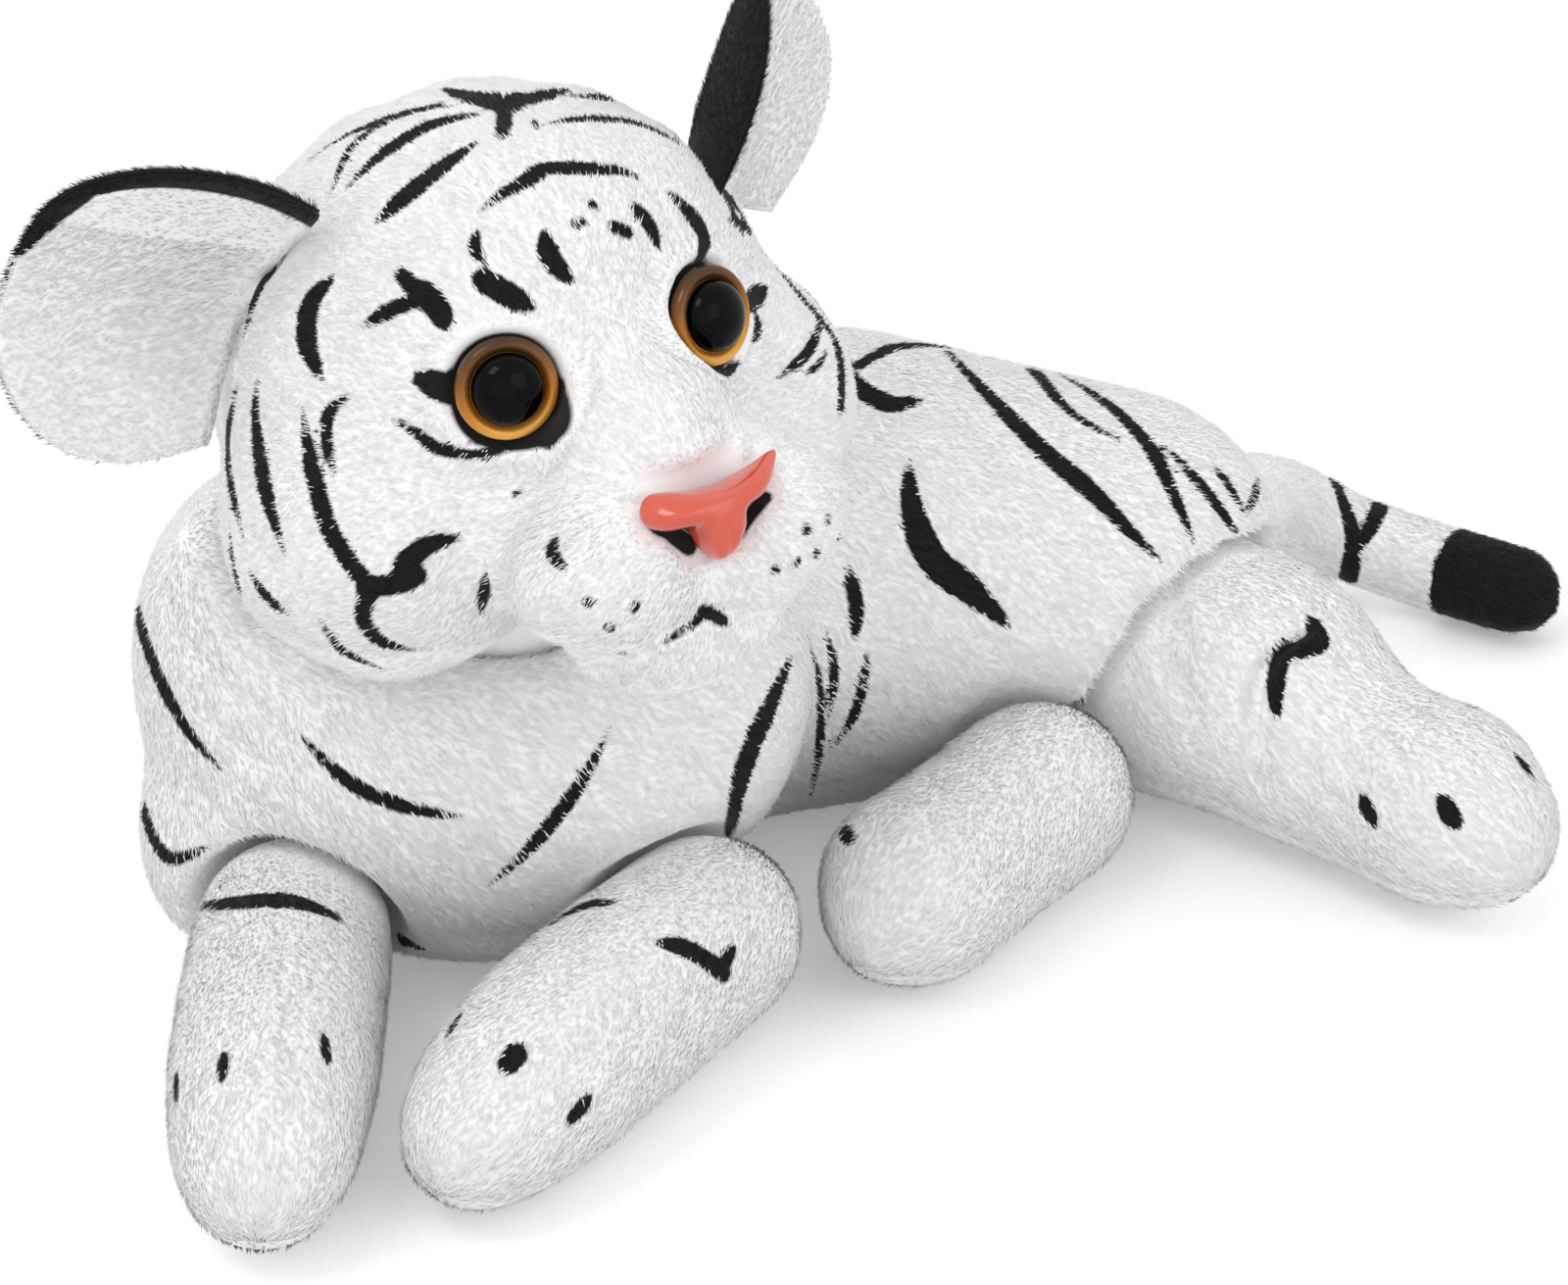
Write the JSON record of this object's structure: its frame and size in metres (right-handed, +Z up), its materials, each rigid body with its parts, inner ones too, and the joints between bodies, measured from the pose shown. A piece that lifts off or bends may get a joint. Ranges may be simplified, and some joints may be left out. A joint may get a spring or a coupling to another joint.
{
  "type": "plush tiger",
  "caption": "Lying white plush tiger with black stripes, amber eyes and a coral nose, its head turned to its left; head, legs, tail and ears hinge on a stuffed torso.",
  "frame": {"origin": "on the flat underside of the belly, where the torso rests, under the neck", "axes": "+Z up; -Y ahead of the chest; +X to the animal's left, the side where both hind legs lie"},
  "size_m": [0.3641, 0.3309, 0.2266],
  "materials": {
    "white_plush": "matte",
    "ear_plush": "matte",
    "stuffing": "matte",
    "amber_plastic": "gloss",
    "black_plastic": "gloss",
    "coral_plastic": "satin",
    "washer_plastic": "matte"
  },
  "bodies": {
    "torso": {"torso_skin": "white_plush", "torso_stuffing": "stuffing"},
    "neck": {"neck_stuffing": "stuffing"},
    "head": {"head_skin": "white_plush", "head_stuffing": "stuffing", "eye_ring_left": "amber_plastic", "eye_ring_right": "amber_plastic", "eye_dome_left": "black_plastic", "eye_dome_right": "black_plastic", "eye_washer_left": "washer_plastic", "eye_washer_right": "washer_plastic", "nose": "coral_plastic", "nose_washer": "washer_plastic"},
    "front_right_leg": {"front_right_leg_skin": "white_plush", "front_right_leg_stuffing": "stuffing"},
    "front_left_leg": {"front_left_leg_skin": "white_plush", "front_left_leg_stuffing": "stuffing"},
    "hind_right_leg": {"hind_right_leg_skin": "white_plush", "hind_right_leg_stuffing": "stuffing"},
    "hind_left_leg": {"hind_left_leg_skin": "white_plush", "hind_left_leg_stuffing": "stuffing"},
    "tail": {"tail_skin": "white_plush", "tail_stuffing": "stuffing"},
    "ear_left": {"ear_lining_left": "white_plush", "ear_back_left": "ear_plush"},
    "ear_right": {"ear_lining_right": "white_plush", "ear_back_right": "ear_plush"}
  },
  "joints": [
    {"name": "neck_turn", "type": "hinge", "parent": "torso", "child": "neck", "pos_m": [-0.0028, -0.0488, 0.099], "axis": [0, 0, 1], "range_deg": [-25, 25], "stiffness_Nm_per_rad": 0.25},
    {"name": "head_nod", "type": "hinge", "parent": "neck", "child": "head", "pos_m": [-0.0028, -0.0488, 0.099], "axis": [0.8479, 0.5302, 0], "range_deg": [-4, 10], "stiffness_Nm_per_rad": 0.6},
    {"name": "front_right_leg_swing", "type": "hinge", "parent": "torso", "child": "front_right_leg", "pos_m": [-0.0514, -0.0714, 0.02358], "axis": [0, 0, 1], "range_deg": [-18, 0], "stiffness_Nm_per_rad": 0.08},
    {"name": "front_left_leg_swing", "type": "hinge", "parent": "torso", "child": "front_left_leg", "pos_m": [0.0392, -0.0704, 0.02376], "axis": [0, 0, 1], "range_deg": [0, 28], "stiffness_Nm_per_rad": 0.08},
    {"name": "hind_right_leg_swing", "type": "hinge", "parent": "torso", "child": "hind_right_leg", "pos_m": [0.1168, -0.0084, 0.02393], "axis": [0, 0, 1], "range_deg": [0, 22], "stiffness_Nm_per_rad": 0.08},
    {"name": "hind_left_leg_swing", "type": "hinge", "parent": "torso", "child": "hind_left_leg", "pos_m": [0.1518, 0.0396, 0.03522], "axis": [0, 0, 1], "range_deg": [0, 18], "stiffness_Nm_per_rad": 0.08},
    {"name": "tail_swing", "type": "hinge", "parent": "torso", "child": "tail", "pos_m": [0.1688, 0.0886, 0.04761], "axis": [0, 0, 1], "range_deg": [-14, 14], "stiffness_Nm_per_rad": 0.02},
    {"name": "ear_fold_left", "type": "hinge", "parent": "head", "child": "ear_left", "pos_m": [0.03822, -0.01263, 0.18112], "axis": [-0.214, -0.9152, 0.3416], "range_deg": [-8, 8], "stiffness_Nm_per_rad": 0.02},
    {"name": "ear_fold_right", "type": "hinge", "parent": "head", "child": "ear_right", "pos_m": [-0.05879, -0.07187, 0.17596], "axis": [0.4516, -0.0444, 0.8911], "range_deg": [-8, 8], "stiffness_Nm_per_rad": 0.02}
  ]
}
